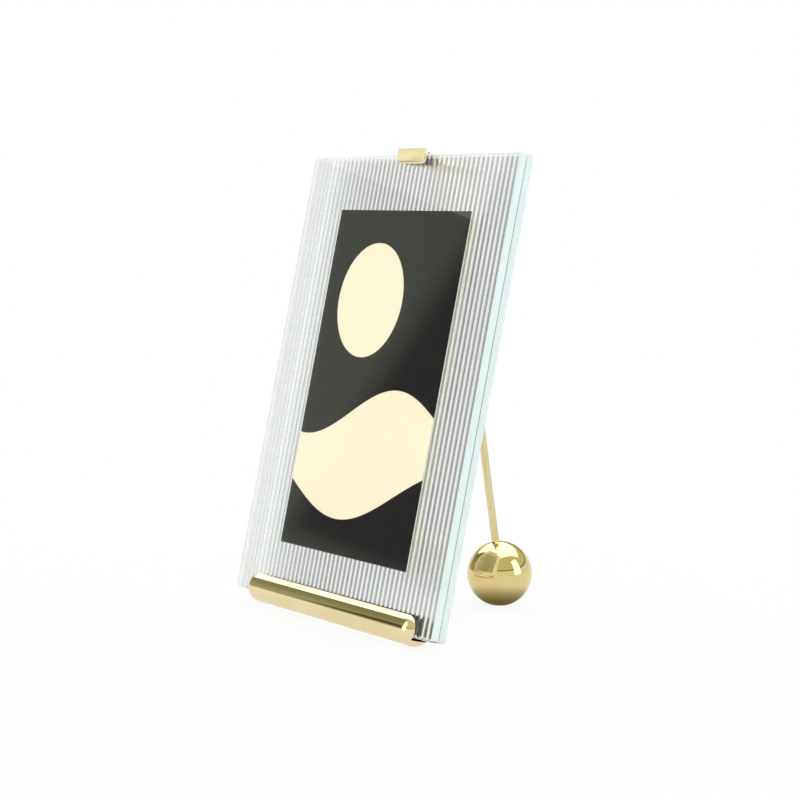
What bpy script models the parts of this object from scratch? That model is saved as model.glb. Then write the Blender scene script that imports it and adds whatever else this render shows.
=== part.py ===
"""Glass photo frame with brass fittings.

Two glass plates hold a print between them. They stand in the slot of a round brass rail and lean back. A
brass clip hooks over their top edge, and a square brass leg with a ball foot is hinged behind the clip.

Metres, +Z up. The origin lies on the table under the middle of the rail, and +Y runs to the frame's back.
Pieces on the plates are placed in the panel's own frame: origin on the rail's axis, X along the rail, Y
through the plates to the back, Z up along the plates.
"""
import math

import bmesh
import bpy
from mathutils import Matrix

# Gap between pieces that rest on each other, and round a pin, screw or bar in its hole
SEAT = 0.0003
HOLE_GAP = 0.0002

# How the frame stands
PANEL_LEAN = math.radians(12.5)
LEG_TILT = math.radians(8.9)
PAD_PROUD = 0.00025

# Glass plates and print. The reeded plate is cut from a wider sheet, whose valleys fall a little to the right
# of the plate's centre line
GLASS_WIDTH = 0.160
GLASS_HEIGHT = 0.2025
GLASS_CORNER_RADIUS = 0.0018
GLASS_ARRIS = 0.0004
FRONT_THICKNESS = 0.0030
BACK_THICKNESS = 0.0032
REED_PITCH = 0.003375
REED_HEIGHT = 0.0006
REED_OFFSET = 0.0011
SHEET_SPARE = 0.002
PRINT_WIDTH = 0.1016
PRINT_HEIGHT = 0.1524
PRINT_THICKNESS = 0.0003

# Brass rail, the rubber strip in its slot and the felt strip under it
RAIL_RADIUS = 0.0070
RAIL_LENGTH = 0.1375
RAIL_DOME = 0.0070
GLASS_SINK = 0.0029
LIP_CHAMFER = 0.00025
STRIP_THICKNESS = 0.0006
STRIP_INSET = 0.0060
FELT_WIDTH = 0.0034
FELT_THICKNESS = 0.0010
FELT_INSET = 0.0060

# Clip over the top edge of the plates
CLIP_OFFSET = 0.0024
CLIP_WIDTH = 0.0214
CLIP_SHEET = 0.0015
CLIP_JAW_DEPTH = 0.0048
CLIP_SIDE_GAP = 0.00045
CLIP_CORNER_RADIUS = 0.0026
CLIP_BEND_RADIUS = 0.0006
CLIP_EDGE = 0.0003
JAW_PAD_SIDE_MARGIN = 0.0027
JAW_PAD_END_MARGIN = 0.0007
JAW_PAD_THICKNESS = 0.0004
JAW_PAD_GAP = 0.00022

# Hinge behind the clip
FLANGE_SIDE_MARGIN = 0.0017
FLANGE_LOW_MARGIN = 0.0003
FLANGE_TOP_MARGIN = 0.0017
FLANGE_CORNER_RADIUS = 0.0015
FLANGE_THICKNESS = 0.0018
BRACKET_EDGE = 0.0002
PIVOT_SETBACK = 0.0115
EAR_THICKNESS = 0.0013
EAR_RADIUS = 0.0022
PIN_RADIUS = 0.0008
PIN_HEAD_RADIUS = 0.0015
PIN_HEAD_HEIGHT = 0.0006
WASHER_RADIUS = 0.0020
WASHER_THICKNESS = 0.0004
SCREW_SPACING = 0.0130
SCREW_RADIUS = 0.0008
SCREW_HEAD_RADIUS = 0.0015
SCREW_HEAD_HEIGHT = 0.0006

# Leg bar and ball foot
BAR_SIDE = 0.0026
BAR_EDGE = 0.00025
EYE_RADIUS = 0.0021
HEEL_HEIGHT = 0.0018
BAR_SINK = 0.0010
SPIGOT_RADIUS = 0.0010
SPIGOT_LENGTH = 0.0080
BALL_RADIUS = 0.0147
FOOT_PAD_RADIUS = 0.0030
FOOT_PAD_MARGIN = 0.0006
FOOT_PAD_THICKNESS = 0.0008

# Facets
RAIL_SEGMENTS = 64
BALL_SEGMENTS = 64
SMALL_SEGMENTS = 24
DOME_STEPS = 12
REED_STEPS = 8
CORNER_STEPS = 5

# Sizes that follow from the ones above, in the panel's frame
PACK_THICKNESS = FRONT_THICKNESS + SEAT + PRINT_THICKNESS + SEAT + BACK_THICKNESS
PACK_FRONT = -PACK_THICKNESS / 2
PACK_BACK = PACK_THICKNESS / 2
PRINT_FRONT = PACK_FRONT + FRONT_THICKNESS + SEAT
BACK_GLASS_FRONT = PRINT_FRONT + PRINT_THICKNESS + SEAT
GLASS_BOTTOM = -GLASS_SINK
GLASS_TOP = GLASS_BOTTOM + GLASS_HEIGHT
GLASS_MIDDLE = (GLASS_BOTTOM + GLASS_TOP) / 2
RAIL_HEIGHT = RAIL_RADIUS + PAD_PROUD
STRIP_TOP = GLASS_BOTTOM - SEAT
STRIP_BOTTOM = STRIP_TOP - STRIP_THICKNESS
SLOT_FLOOR = STRIP_BOTTOM - SEAT
STRIP_LENGTH = RAIL_LENGTH - 2 * STRIP_INSET
FELT_LENGTH = RAIL_LENGTH - 2 * RAIL_DOME - 2 * FELT_INSET

CLIP_INNER = PACK_BACK + CLIP_SIDE_GAP
CLIP_OUTER = CLIP_INNER + CLIP_SHEET
CLIP_INNER_TOP = GLASS_TOP + SEAT
CLIP_OUTER_TOP = CLIP_INNER_TOP + CLIP_SHEET
CLIP_BOTTOM = GLASS_TOP - CLIP_JAW_DEPTH
JAW_PAD_WIDTH = CLIP_WIDTH - 2 * JAW_PAD_SIDE_MARGIN
JAW_PAD_HEIGHT = CLIP_JAW_DEPTH - 2 * JAW_PAD_END_MARGIN
JAW_PAD_MIDDLE = (CLIP_BOTTOM + GLASS_TOP) / 2
POCKET_FLOOR = PACK_BACK + JAW_PAD_THICKNESS + 2 * JAW_PAD_GAP

FLANGE_WIDTH = CLIP_WIDTH - 2 * FLANGE_SIDE_MARGIN
FLANGE_BOTTOM = CLIP_BOTTOM + FLANGE_LOW_MARGIN
FLANGE_TOP = CLIP_OUTER_TOP - FLANGE_TOP_MARGIN
FLANGE_FRONT = CLIP_OUTER + SEAT
FLANGE_BACK = FLANGE_FRONT + FLANGE_THICKNESS
PIVOT_Y = PACK_BACK + PIVOT_SETBACK
PIVOT_Z = (FLANGE_BOTTOM + FLANGE_TOP) / 2
EAR_GAP = BAR_SIDE + 2 * (WASHER_THICKNESS + 2 * SEAT)
FORK_WIDTH = EAR_GAP + 2 * EAR_THICKNESS
PIN_HOLE_RADIUS = PIN_RADIUS + HOLE_GAP
SCREW_LENGTH = FLANGE_BACK - POCKET_FLOOR - HOLE_GAP
HEEL_REACH = PIVOT_Y - FLANGE_BACK - SEAT

FOOT_FLAT_RADIUS = FOOT_PAD_RADIUS + FOOT_PAD_MARGIN
BALL_HEIGHT = PAD_PROUD + math.sqrt(BALL_RADIUS ** 2 - FOOT_FLAT_RADIUS ** 2)
PIVOT_HEIGHT = RAIL_HEIGHT + PIVOT_Z * math.cos(PANEL_LEAN) - PIVOT_Y * math.sin(PANEL_LEAN)
LEG_LENGTH = (PIVOT_HEIGHT - BALL_HEIGHT) / math.cos(LEG_TILT)
LEG_OPENING = PANEL_LEAN + LEG_TILT
BAR_LENGTH = LEG_LENGTH - BALL_RADIUS + BAR_SINK

# Turns that stand a flat outline up: its plane across Y, or across X with the outline in Y and Z
ACROSS_Y = Matrix.Rotation(math.pi / 2, 4, "X")
ACROSS_X = Matrix.Rotation(math.pi / 2, 4, "Z") @ ACROSS_Y
FLAT = Matrix.Identity(4)


def clear_scene():
    for obj in list(bpy.data.objects):
        bpy.data.objects.remove(obj, do_unlink=True)


def make_collection(name):
    collection = bpy.data.collections.new(name)
    bpy.context.scene.collection.children.link(collection)
    return collection


def make_material(name, colour, roughness, metallic=0.0, transmission=0.0):
    material = bpy.data.materials.new(name)
    material.use_nodes = True
    shader = material.node_tree.nodes["Principled BSDF"]
    shader.inputs["Base Color"].default_value = (*colour, 1.0)
    shader.inputs["Roughness"].default_value = roughness
    shader.inputs["Metallic"].default_value = metallic
    shader.inputs["Transmission Weight"].default_value = transmission
    return material


def ease_edges(piece, width, segments):
    """Live bevel on the sharp edges of a piece or of a tool."""
    eased = piece.modifiers.new("Eased edges", "BEVEL")
    eased.width = width
    eased.segments = segments
    eased.limit_method = "ANGLE"
    eased.angle_limit = math.radians(60)


def add_empty(name, parent, location, rotation):
    empty = bpy.data.objects.new(name, None)
    parts.objects.link(empty)
    empty.empty_display_size = PACK_THICKNESS
    empty.parent = parent
    empty.location = location
    empty.rotation_euler = rotation
    return empty


def add_piece(name, mesh, material, parent=None, location=(0, 0, 0), rotation=(0, 0, 0)):
    """A visible piece of the frame."""
    piece = bpy.data.objects.new(name, mesh)
    parts.objects.link(piece)
    mesh.materials.append(material)
    piece.parent = parent
    piece.location = location
    piece.rotation_euler = rotation
    return piece


def shape(piece, operation, mesh, parent=None, location=(0, 0, 0), rotation=(0, 0, 0)):
    """Cut a tool out of a piece, or join or intersect it, with a live Boolean."""
    tool = bpy.data.objects.new(piece.name + "_" + operation.lower(), mesh)
    cutters.objects.link(tool)
    tool.parent = parent
    tool.location = location
    tool.rotation_euler = rotation
    tool.hide_render = True
    tool.display_type = "WIRE"
    modifier = piece.modifiers.new(operation.title(), "BOOLEAN")
    modifier.operation = operation
    modifier.solver = "EXACT"
    modifier.object = tool
    return tool


def to_mesh(bm, name, smooth_angle=None):
    bmesh.ops.recalc_face_normals(bm, faces=bm.faces)
    mesh = bpy.data.meshes.new(name)
    bm.to_mesh(mesh)
    bm.free()
    if smooth_angle is not None:
        mesh.shade_smooth()
        mesh.set_sharp_from_angle(angle=smooth_angle)
    return mesh


def box(x_range, y_range, z_range):
    """A box that fills the given ranges of X, Y and Z."""
    ranges = (x_range, y_range, z_range)
    bm = bmesh.new()
    bmesh.ops.create_cube(bm, size=1.0)
    bmesh.ops.scale(bm, vec=[high - low for low, high in ranges], verts=bm.verts)
    bmesh.ops.translate(bm, vec=[(high + low) / 2 for low, high in ranges], verts=bm.verts)
    return to_mesh(bm, "box")


def both_sides(width):
    """The range of a size centred on zero."""
    return (-width / 2, width / 2)


def rod(radius, low, high, turn, segments):
    """A cylinder from low to high on Z, then turned."""
    bm = bmesh.new()
    place = turn @ Matrix.Translation((0, 0, (low + high) / 2))
    bmesh.ops.create_cone(bm, cap_ends=True, segments=segments, radius1=radius, radius2=radius,
                          depth=high - low, matrix=place)
    return to_mesh(bm, "rod", math.radians(40))


def arc(centre, radius, start, end, steps):
    """Points along a circular arc, both ends included."""
    turns = [start + (end - start) * i / steps for i in range(steps + 1)]
    return [(centre[0] + radius * math.cos(t), centre[1] + radius * math.sin(t)) for t in turns]


def rounded_rectangle(width, height, radius, steps):
    """Outline centred on zero."""
    points = []
    for side, end, quarter in ((1, 1, 0), (-1, 1, 1), (-1, -1, 2), (1, -1, 3)):
        centre = (side * (width / 2 - radius), end * (height / 2 - radius))
        points += arc(centre, radius, quarter * math.pi / 2, (quarter + 1) * math.pi / 2, steps)
    return points


def extruded(points, thickness, turn):
    """A filled 2D curve with the thickness shared to both sides of its plane, welded to a closed mesh."""
    curve = bpy.data.curves.new("outline", "CURVE")
    curve.dimensions = "2D"
    curve.fill_mode = "BOTH"
    curve.extrude = thickness / 2
    spline = curve.splines.new("POLY")
    spline.points.add(len(points) - 1)
    for corner, (a, b) in zip(spline.points, points):
        corner.co = (a, b, 0, 1)
    spline.use_cyclic_u = True
    guide = bpy.data.objects.new("outline", curve)
    parts.objects.link(guide)
    guide.matrix_world = turn
    bpy.context.view_layer.update()
    graph = bpy.context.evaluated_depsgraph_get()
    loose = bpy.data.meshes.new_from_object(guide.evaluated_get(graph))
    loose.transform(guide.matrix_world)
    bpy.data.objects.remove(guide, do_unlink=True)
    bm = bmesh.new()
    bm.from_mesh(loose)
    bmesh.ops.remove_doubles(bm, verts=bm.verts, dist=0.000001)
    bmesh.ops.dissolve_limit(bm, angle_limit=math.radians(1), verts=bm.verts, edges=bm.edges)
    return to_mesh(bm, "extruded", math.radians(30))


def profile(points, closed=False):
    """A profile of (radius, height) points, from the top of a turned piece down its outer side."""
    edges = [(i, i + 1) for i in range(len(points) - 1)]
    if closed:
        edges.append((len(points) - 1, 0))
    mesh = bpy.data.meshes.new("profile")
    mesh.from_pydata([(r, 0.0, z) for r, z in points], edges, [])
    return mesh


def turn_about_z(piece, steps):
    """Turn the profile about Z into a closed body."""
    modifier = piece.modifiers.new("Turn", "SCREW")
    modifier.axis = "Z"
    modifier.steps = steps
    modifier.render_steps = steps
    modifier.use_merge_vertices = True
    modifier.merge_threshold = 0.000005
    modifier.use_smooth_shade = True


def slot_outline():
    """The slot seen from the rail's end, in Y and Z: square at its floor, flared to chamfer both lips."""
    half = PACK_THICKNESS / 2 + SEAT
    flare = math.sqrt(RAIL_RADIUS ** 2 - half ** 2) - LIP_CHAMFER
    top = 2 * RAIL_RADIUS
    return [(-half, SLOT_FLOOR), (half, SLOT_FLOOR), (half, flare), (half + top - flare, top),
            (flare - top - half, top), (-half, flare)]


def make_rail():
    """Solid round bar with domed ends, slotted from end to end for the plates and grooved underneath."""
    straight = RAIL_LENGTH / 2 - RAIL_DOME
    turns = [math.pi / 2 * i / DOME_STEPS for i in range(DOME_STEPS + 1)]
    dome = [(RAIL_RADIUS * math.sin(t), straight + RAIL_DOME * math.cos(t)) for t in turns]
    outline = dome + [(r, -z) for r, z in reversed(dome)]
    rail = add_piece("base_rail", profile(outline), brass, None, (0, 0, RAIL_HEIGHT), (0, math.pi / 2, 0))
    turn_about_z(rail, RAIL_SEGMENTS)
    shape(rail, "DIFFERENCE", extruded(slot_outline(), 2 * RAIL_LENGTH, ACROSS_X), panel)
    groove_height = FELT_THICKNESS + SEAT
    groove = box(both_sides(FELT_LENGTH + 2 * SEAT), both_sides(FELT_WIDTH + 2 * SEAT),
                 (-groove_height, groove_height))
    shape(rail, "DIFFERENCE", groove)


def make_rail_strips():
    """A rubber strip under the plates in the slot, and a felt strip let into the rail's underside."""
    strip = box(both_sides(STRIP_LENGTH), both_sides(PACK_THICKNESS), (STRIP_BOTTOM, STRIP_TOP))
    add_piece("slot_strip", strip, rubber, panel)
    pad = box(both_sides(FELT_LENGTH), both_sides(FELT_WIDTH), (0, FELT_THICKNESS))
    add_piece("rail_pad", pad, felt)


def reeded_section():
    """Section of the uncut sheet: spare glass behind, a row of shallow arcs in front, from left to right."""
    reeds = 2 * math.ceil((GLASS_WIDTH / 2 + abs(REED_OFFSET)) / REED_PITCH)
    half = REED_PITCH / 2
    radius = (half ** 2 + REED_HEIGHT ** 2) / (2 * REED_HEIGHT)
    sweep = math.asin(half / radius)
    edge = reeds * half
    back = BACK_THICKNESS + SHEET_SPARE
    points = [(edge, back), (-edge, back)]
    for reed in range(reeds):
        centre = (REED_PITCH * (reed + 0.5) - edge, radius)
        crest = arc(centre, radius, -math.pi / 2 - sweep, -math.pi / 2 + sweep, REED_STEPS)
        points += crest if reed == 0 else crest[1:]
    return points


def make_back_glass():
    """Reeded glass: the reeds run up its front from edge to edge, and its flat back has a fine arris."""
    sheet = extruded(reeded_section(), GLASS_HEIGHT + 2 * SHEET_SPARE, FLAT)
    glass = add_piece("back_glass", sheet, reeded_glass, panel,
                      (REED_OFFSET, BACK_GLASS_FRONT, GLASS_MIDDLE))
    outline = rounded_rectangle(GLASS_WIDTH, GLASS_HEIGHT, GLASS_CORNER_RADIUS, CORNER_STEPS)
    tool_thickness = BACK_THICKNESS + SHEET_SPARE
    plate = shape(glass, "INTERSECT", extruded(outline, tool_thickness, ACROSS_Y), panel,
                  (0, BACK_GLASS_FRONT + BACK_THICKNESS - tool_thickness / 2, GLASS_MIDDLE))
    ease_edges(plate, GLASS_ARRIS, 1)


def make_print():
    sheet = box(both_sides(PRINT_WIDTH), (0, PRINT_THICKNESS), both_sides(PRINT_HEIGHT))
    add_piece("photo_print", sheet, paper, panel, (0, PRINT_FRONT, GLASS_MIDDLE))


def make_front_glass():
    """Clear float glass with ground corners and a fine arris round both faces."""
    outline = rounded_rectangle(GLASS_WIDTH, GLASS_HEIGHT, GLASS_CORNER_RADIUS, CORNER_STEPS)
    plate = extruded(outline, FRONT_THICKNESS, ACROSS_Y)
    glass = add_piece("front_glass", plate, clear_glass, panel,
                      (0, PACK_FRONT + FRONT_THICKNESS / 2, GLASS_MIDDLE))
    ease_edges(glass, GLASS_ARRIS, 1)


def clip_section():
    """The folded channel seen from its end, in Y and Z: round outside at the fold and square inside."""
    radius = CLIP_BEND_RADIUS
    bend = CLIP_OUTER_TOP - radius
    points = [(-CLIP_OUTER, CLIP_BOTTOM), (-CLIP_INNER, CLIP_BOTTOM), (-CLIP_INNER, CLIP_INNER_TOP),
              (CLIP_INNER, CLIP_INNER_TOP), (CLIP_INNER, CLIP_BOTTOM), (CLIP_OUTER, CLIP_BOTTOM)]
    points += arc((CLIP_OUTER - radius, bend), radius, 0, math.pi / 2, CORNER_STEPS)
    points += arc((radius - CLIP_OUTER, bend), radius, math.pi / 2, math.pi, CORNER_STEPS)
    return points


def jaw_outline():
    """Front view of the clip in X and Z: square at the fold, with large round corners at the open end."""
    radius = CLIP_CORNER_RADIUS
    side = CLIP_WIDTH / 2 - radius
    low = CLIP_BOTTOM + radius
    points = [(CLIP_WIDTH / 2, 2 * CLIP_OUTER_TOP), (-CLIP_WIDTH / 2, 2 * CLIP_OUTER_TOP)]
    points += arc((-side, low), radius, math.pi, 1.5 * math.pi, CORNER_STEPS)
    points += arc((side, low), radius, 1.5 * math.pi, 2 * math.pi, CORNER_STEPS)
    return points


def make_clip():
    """Brass sheet folded over the top edge of both plates, with a shallow pocket for a pad in each jaw."""
    channel = extruded(clip_section(), 2 * CLIP_WIDTH, ACROSS_X)
    clip = add_piece("clip_channel", channel, brass, clip_frame)
    shape(clip, "INTERSECT", extruded(jaw_outline(), 4 * CLIP_OUTER, ACROSS_Y), clip_frame)
    ease_edges(clip, CLIP_EDGE, 2)
    pocket = box(both_sides(JAW_PAD_WIDTH + 2 * SEAT), (-POCKET_FLOOR, POCKET_FLOOR),
                 both_sides(JAW_PAD_HEIGHT + 2 * SEAT))
    shape(clip, "DIFFERENCE", pocket, clip_frame, (0, 0, JAW_PAD_MIDDLE))
    head = SCREW_HEAD_RADIUS + HOLE_GAP
    neck = SCREW_RADIUS + HOLE_GAP
    sink = [(0, SCREW_HEAD_HEIGHT), (head, SCREW_HEAD_HEIGHT), (head, 0), (neck, -SCREW_HEAD_HEIGHT),
            (neck, -2 * CLIP_SHEET), (0, -2 * CLIP_SHEET)]
    for side in (-1, 1):
        hole = shape(clip, "DIFFERENCE", profile(sink), clip_frame,
                     (side * SCREW_SPACING / 2, POCKET_FLOOR, JAW_PAD_MIDDLE), (math.pi / 2, 0, 0))
        turn_about_z(hole, SMALL_SEGMENTS)


def make_jaw_pads():
    for name, side in (("front_jaw_pad", -1), ("rear_jaw_pad", 1)):
        middle = side * (PACK_BACK + JAW_PAD_GAP + JAW_PAD_THICKNESS / 2)
        pad = box(both_sides(JAW_PAD_WIDTH), both_sides(JAW_PAD_THICKNESS), both_sides(JAW_PAD_HEIGHT))
        add_piece(name, pad, rubber, clip_frame, (0, middle, JAW_PAD_MIDDLE))


def fork_outline():
    """Side view of the bracket's fork in Y and Z: from inside the flange to a round end at the pivot."""
    root = (FLANGE_FRONT + FLANGE_BACK) / 2
    points = [(root, EAR_RADIUS), (root, -EAR_RADIUS)]
    points += arc((PIVOT_Y, 0), EAR_RADIUS, -math.pi / 2, math.pi / 2, 2 * CORNER_STEPS)
    return points


def make_hinge_bracket():
    """Flange screwed to the clip's rear jaw, with a fork that carries the hinge pin."""
    outline = rounded_rectangle(FLANGE_WIDTH, FLANGE_TOP - FLANGE_BOTTOM, FLANGE_CORNER_RADIUS, CORNER_STEPS)
    bracket = add_piece("hinge_bracket", extruded(outline, FLANGE_THICKNESS, ACROSS_Y), brass, clip_frame,
                        (0, (FLANGE_FRONT + FLANGE_BACK) / 2, PIVOT_Z))
    ease_edges(bracket, BRACKET_EDGE, 2)
    pivot = (0, PIVOT_Y, PIVOT_Z)
    fork = shape(bracket, "UNION", extruded(fork_outline(), FORK_WIDTH, ACROSS_X), clip_frame,
                 (0, 0, PIVOT_Z))
    ease_edges(fork, BRACKET_EDGE, 1)
    slot = box(both_sides(EAR_GAP), (FLANGE_BACK, PIVOT_Y + 2 * EAR_RADIUS), both_sides(4 * EAR_RADIUS))
    shape(bracket, "DIFFERENCE", slot, clip_frame, (0, 0, PIVOT_Z))
    bore = rod(PIN_HOLE_RADIUS, -FORK_WIDTH, FORK_WIDTH, ACROSS_X, SMALL_SEGMENTS)
    shape(bracket, "DIFFERENCE", bore, clip_frame, pivot)
    for side in (-1, 1):
        hole = rod(SCREW_RADIUS + HOLE_GAP, -2 * FLANGE_THICKNESS, 2 * FLANGE_THICKNESS, ACROSS_Y,
                   SMALL_SEGMENTS)
        shape(bracket, "DIFFERENCE", hole, clip_frame,
              (side * SCREW_SPACING / 2, FLANGE_BACK, JAW_PAD_MIDDLE))


def make_bracket_screws():
    """Two countersunk screws from inside the rear jaw into the flange."""
    outline = [(0, 0), (SCREW_HEAD_RADIUS, 0), (SCREW_RADIUS, -SCREW_HEAD_HEIGHT),
               (SCREW_RADIUS, -SCREW_LENGTH), (0, -SCREW_LENGTH)]
    for name, side in (("bracket_screw_left", -1), ("bracket_screw_right", 1)):
        screw = add_piece(name, profile(outline), steel, clip_frame,
                          (side * SCREW_SPACING / 2, POCKET_FLOOR, JAW_PAD_MIDDLE), (math.pi / 2, 0, 0))
        turn_about_z(screw, SMALL_SEGMENTS)


def make_hinge_pin():
    """Plain pin through both ears and the leg's eye, closed by a domed head at each end."""
    shank = FORK_WIDTH / 2 + SEAT
    turns = [math.pi / 2 * i / CORNER_STEPS for i in range(CORNER_STEPS + 1)]
    dome = [(PIN_HEAD_RADIUS * math.sin(t), shank + PIN_HEAD_HEIGHT * math.cos(t)) for t in turns]
    half = dome + [(PIN_RADIUS, shank)]
    outline = half + [(r, -z) for r, z in reversed(half)]
    pin = add_piece("hinge_pin", profile(outline), brass, clip_frame, (0, PIVOT_Y, PIVOT_Z),
                    (0, math.pi / 2, 0))
    turn_about_z(pin, SMALL_SEGMENTS)


def make_hinge_washers():
    """A thin washer on each side of the leg's eye, to hold the leg by friction."""
    top = WASHER_THICKNESS / 2
    ring = [(PIN_HOLE_RADIUS, top), (WASHER_RADIUS, top), (WASHER_RADIUS, -top), (PIN_HOLE_RADIUS, -top)]
    offset = BAR_SIDE / 2 + SEAT + WASHER_THICKNESS / 2
    for name, side in (("hinge_washer_left", -1), ("hinge_washer_right", 1)):
        washer = add_piece(name, profile(ring, closed=True), nylon, leg_frame, (side * offset, 0, 0),
                           (0, math.pi / 2, 0))
        turn_about_z(washer, SMALL_SEGMENTS)


def leg_outline():
    """Side view of the leg in Y and Z: a long bar, a round eye, and a heel that lies along the open panel."""
    half = BAR_SIDE / 2
    side = math.acos(half / EYE_RADIUS)
    heel_top = math.pi - math.asin(HEEL_HEIGHT / EYE_RADIUS)
    points = [(-half, -BAR_LENGTH), (half, -BAR_LENGTH)]
    points += arc((0, 0), EYE_RADIUS, -side, heel_top - LEG_OPENING, 4 * CORNER_STEPS)
    for height in (HEEL_HEIGHT, 0):
        points.append((height * math.sin(LEG_OPENING) - HEEL_REACH * math.cos(LEG_OPENING),
                       height * math.cos(LEG_OPENING) + HEEL_REACH * math.sin(LEG_OPENING)))
    points += arc((0, 0), EYE_RADIUS, math.pi - LEG_OPENING, math.pi + side, 2 * CORNER_STEPS)
    return points


def make_leg_bar():
    """Slim square bar with an eye and a stop heel at its top, and a threaded spigot in the ball."""
    bar = add_piece("leg_bar", extruded(leg_outline(), BAR_SIDE, ACROSS_X), brass, leg_frame)
    ease_edges(bar, BAR_EDGE, 2)
    spigot = rod(SPIGOT_RADIUS, -BAR_LENGTH - SPIGOT_LENGTH, -BAR_LENGTH + BAR_SINK, FLAT, SMALL_SEGMENTS)
    shape(bar, "UNION", spigot, leg_frame)
    shape(bar, "DIFFERENCE", rod(PIN_HOLE_RADIUS, -BAR_SIDE, BAR_SIDE, ACROSS_X, SMALL_SEGMENTS), leg_frame)


def make_ball_foot():
    """Brass ball screwed on the bar's spigot, with a small flat and a recessed pad where it stands."""
    bm = bmesh.new()
    bmesh.ops.create_uvsphere(bm, u_segments=BALL_SEGMENTS, v_segments=BALL_SEGMENTS // 2,
                              radius=BALL_RADIUS)
    ball = add_piece("ball_foot", to_mesh(bm, "ball", math.radians(40)), brass, leg_frame,
                     (0, 0, -LEG_LENGTH))
    seat = BALL_RADIUS - BAR_SINK - SEAT
    socket_side = BAR_SIDE + 2 * HOLE_GAP
    socket = box(both_sides(socket_side), both_sides(socket_side), (seat, 2 * BALL_RADIUS))
    shape(ball, "DIFFERENCE", socket, leg_frame, (0, 0, -LEG_LENGTH))
    bore = rod(SPIGOT_RADIUS + HOLE_GAP, seat - SPIGOT_LENGTH, 2 * BALL_RADIUS, FLAT, SMALL_SEGMENTS)
    shape(ball, "DIFFERENCE", bore, leg_frame, (0, 0, -LEG_LENGTH))
    flat = box(both_sides(2 * BALL_RADIUS), both_sides(2 * BALL_RADIUS), (-BALL_RADIUS, PAD_PROUD))
    shape(ball, "DIFFERENCE", flat, foot_frame)
    recess = rod(FOOT_PAD_RADIUS + SEAT, -PAD_PROUD, FOOT_PAD_THICKNESS + SEAT, FLAT, SMALL_SEGMENTS)
    shape(ball, "DIFFERENCE", recess, foot_frame)
    pad = rod(FOOT_PAD_RADIUS, 0, FOOT_PAD_THICKNESS, FLAT, SMALL_SEGMENTS)
    add_piece("ball_pad", pad, felt, foot_frame)


clear_scene()
parts = make_collection("glass_photo_frame")
cutters = make_collection("cutters")

brass = make_material("polished_brass", (0.83, 0.66, 0.34), 0.12, metallic=1.0)
steel = make_material("screw_steel", (0.62, 0.62, 0.64), 0.3, metallic=1.0)
clear_glass = make_material("clear_glass", (0.97, 0.99, 0.98), 0.0, transmission=1.0)
reeded_glass = make_material("reeded_glass", (0.95, 0.98, 0.97), 0.02, transmission=1.0)
paper = make_material("photo_paper", (0.85, 0.82, 0.70), 0.5)
rubber = make_material("pad_rubber", (0.06, 0.06, 0.06), 0.8)
felt = make_material("base_felt", (0.12, 0.11, 0.10), 1.0)
nylon = make_material("washer_nylon", (0.80, 0.80, 0.78), 0.5)

# The panel leans back from the rail's axis, the leg turns about the pivot behind the clip, and the foot
# frame lies level on the table under the ball
panel = add_empty("panel_frame", None, (0, 0, RAIL_HEIGHT), (-PANEL_LEAN, 0, 0))
clip_frame = add_empty("clip_frame", panel, (CLIP_OFFSET, 0, 0), (0, 0, 0))
leg_frame = add_empty("leg_frame", clip_frame, (0, PIVOT_Y, PIVOT_Z), (LEG_OPENING, 0, 0))
foot_place = (0, -BALL_HEIGHT * math.sin(LEG_TILT), -LEG_LENGTH - BALL_HEIGHT * math.cos(LEG_TILT))
foot_frame = add_empty("foot_frame", leg_frame, foot_place, (-LEG_TILT, 0, 0))

make_rail()
make_rail_strips()
make_back_glass()
make_print()
make_front_glass()
make_clip()
make_jaw_pads()
make_hinge_bracket()
make_bracket_screws()
make_hinge_pin()
make_hinge_washers()
make_leg_bar()
make_ball_foot()
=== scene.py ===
"""Looks of the glass photo frame with brass fittings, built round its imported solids. Metres, +Z up."""
import math

import bmesh
import bpy
from mathutils import Matrix, Vector


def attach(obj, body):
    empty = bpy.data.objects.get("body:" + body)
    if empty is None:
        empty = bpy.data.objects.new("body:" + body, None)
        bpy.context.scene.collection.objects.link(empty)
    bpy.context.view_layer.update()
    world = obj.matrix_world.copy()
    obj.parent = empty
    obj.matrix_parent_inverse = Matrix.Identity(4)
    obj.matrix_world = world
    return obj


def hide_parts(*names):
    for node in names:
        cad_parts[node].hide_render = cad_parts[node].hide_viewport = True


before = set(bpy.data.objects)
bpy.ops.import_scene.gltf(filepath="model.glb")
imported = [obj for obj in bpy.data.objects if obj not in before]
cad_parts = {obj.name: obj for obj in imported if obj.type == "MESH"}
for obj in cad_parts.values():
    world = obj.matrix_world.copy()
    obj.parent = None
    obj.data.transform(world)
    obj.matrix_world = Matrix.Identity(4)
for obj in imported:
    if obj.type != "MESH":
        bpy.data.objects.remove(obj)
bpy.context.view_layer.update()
scene = bpy.context.scene
scene.view_settings.view_transform = "Standard"


# Camera: stands to the right of the frame, a little under a metre away, at the height of the clip, with a
# long lens, as in the photograph.
camera_data = bpy.data.cameras.new("camera")
camera_data.lens = 102.036
camera_data.sensor_width = 36
camera_data.clip_start = 0.05
camera = bpy.data.objects.new("camera", camera_data)
camera.location = (0.824217, -0.510305, 0.184931)
camera.rotation_euler = (math.radians(90 - 5.1730), 0, math.radians(56.5777))
scene.collection.objects.link(camera)
scene.camera = camera


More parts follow.
